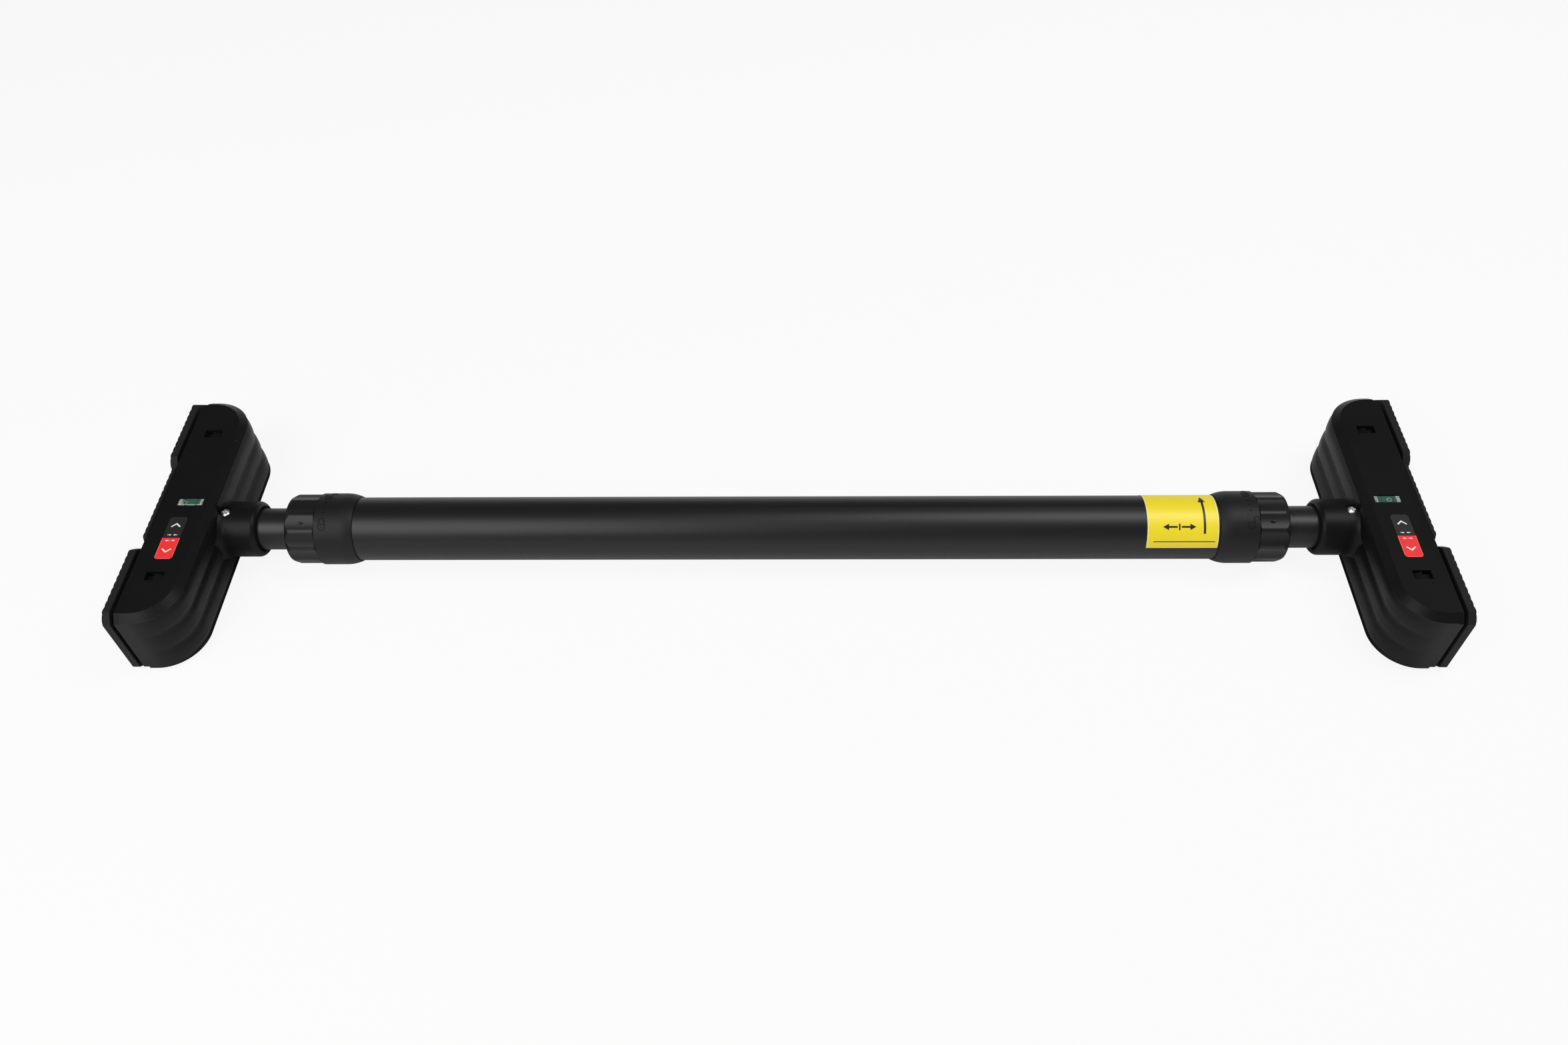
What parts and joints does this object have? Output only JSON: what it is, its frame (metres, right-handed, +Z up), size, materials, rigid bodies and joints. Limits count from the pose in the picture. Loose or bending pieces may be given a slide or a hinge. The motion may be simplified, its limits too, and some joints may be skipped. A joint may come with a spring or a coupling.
{
  "type": "pull up bar",
  "caption": "Telescopic doorway pull up bar: a steel tube that screws out at both ends, with fluted lock rings, rippled D-shaped pads, rubber wall feet and small levels.",
  "frame": {"origin": "middle of the bar's length, on the plane of the pads' backs", "axes": "+X along the bar to the end with the direction label, +Y along the pads, +Z up through the pads' front faces"},
  "size_m": [0.7504, 0.172, 0.0514],
  "materials": {
    "black_steel": "matte powder coat",
    "black_plastic": "fine moulded grain",
    "black_rubber": "matte, toothed",
    "nylon": "natural",
    "zinc_steel": "zinc plated",
    "chrome": "polished",
    "clear_acrylic": "clear",
    "green_fluid": "clear liquid",
    "white_plastic": "plain",
    "yellow_label": "printed film",
    "turn_label": "printed film, grey and red"
  },
  "bodies": {
    "main_bar": {"main_tube": "black_steel", "direction_label": "yellow_label", "left_sleeve": "black_plastic", "left_thread_nut": "nylon", "left_collet": "nylon", "right_sleeve": "black_plastic", "right_thread_nut": "nylon", "right_collet": "nylon"},
    "left_lock_ring": {"left_lock_ring": "black_plastic"},
    "left_guide": {"left_guide_bush": "nylon"},
    "left_end": {"left_stem_tube": "black_steel", "left_stop_ring": "zinc_steel", "left_end_housing": "black_plastic", "left_boss_screws": "chrome", "left_thrust_plate": "zinc_steel", "left_wall_plate": "black_plastic", "left_upper_foot": "black_rubber", "left_lower_foot": "black_rubber", "left_middle_pad": "black_rubber", "left_level_vial": "clear_acrylic", "left_level_fluid": "green_fluid", "left_vial_plugs": "white_plastic", "left_turn_label": "turn_label"},
    "right_lock_ring": {"right_lock_ring": "black_plastic"},
    "right_guide": {"right_guide_bush": "nylon"},
    "right_end": {"right_stem_tube": "black_steel", "right_stop_ring": "zinc_steel", "right_end_housing": "black_plastic", "right_boss_screws": "chrome", "right_thrust_plate": "zinc_steel", "right_wall_plate": "black_plastic", "right_upper_foot": "black_rubber", "right_lower_foot": "black_rubber", "right_middle_pad": "black_rubber", "right_level_vial": "clear_acrylic", "right_level_fluid": "green_fluid", "right_vial_plugs": "white_plastic", "right_turn_label": "turn_label"}
  },
  "joints": [
    {"name": "left_lock_turn", "type": "hinge", "parent": "main_bar", "child": "left_lock_ring", "pos_m": [-0.28665, 0, 0.0256], "axis": [-1, 0, 0], "range_deg": [0, 60]},
    {"name": "left_screw_turn", "type": "hinge", "parent": "main_bar", "child": "left_guide", "pos_m": [-0.2602, 0, 0.0256], "axis": [1, 0, 0], "range_deg": [-1080, 6120]},
    {"name": "left_screw_travel", "type": "slide", "parent": "left_guide", "child": "left_end", "axis": [-1, 0, 0], "range_m": [-0.01501, 0.08501]},
    {"name": "right_lock_turn", "type": "hinge", "parent": "main_bar", "child": "right_lock_ring", "pos_m": [0.28665, 0, 0.0256], "axis": [-1, 0, 0], "range_deg": [0, 60]},
    {"name": "right_screw_turn", "type": "hinge", "parent": "main_bar", "child": "right_guide", "pos_m": [0.2602, 0, 0.0256], "axis": [1, 0, 0], "range_deg": [-1080, 6120]},
    {"name": "right_screw_travel", "type": "slide", "parent": "right_guide", "child": "right_end", "axis": [1, 0, 0], "range_m": [-0.01501, 0.08501]}
  ],
  "couplings": [
    {"joint": "left_screw_travel", "follows": "left_screw_turn", "m_per_rad": 0.00079577},
    {"joint": "right_screw_travel", "follows": "right_screw_turn", "m_per_rad": 0.00079577}
  ]
}
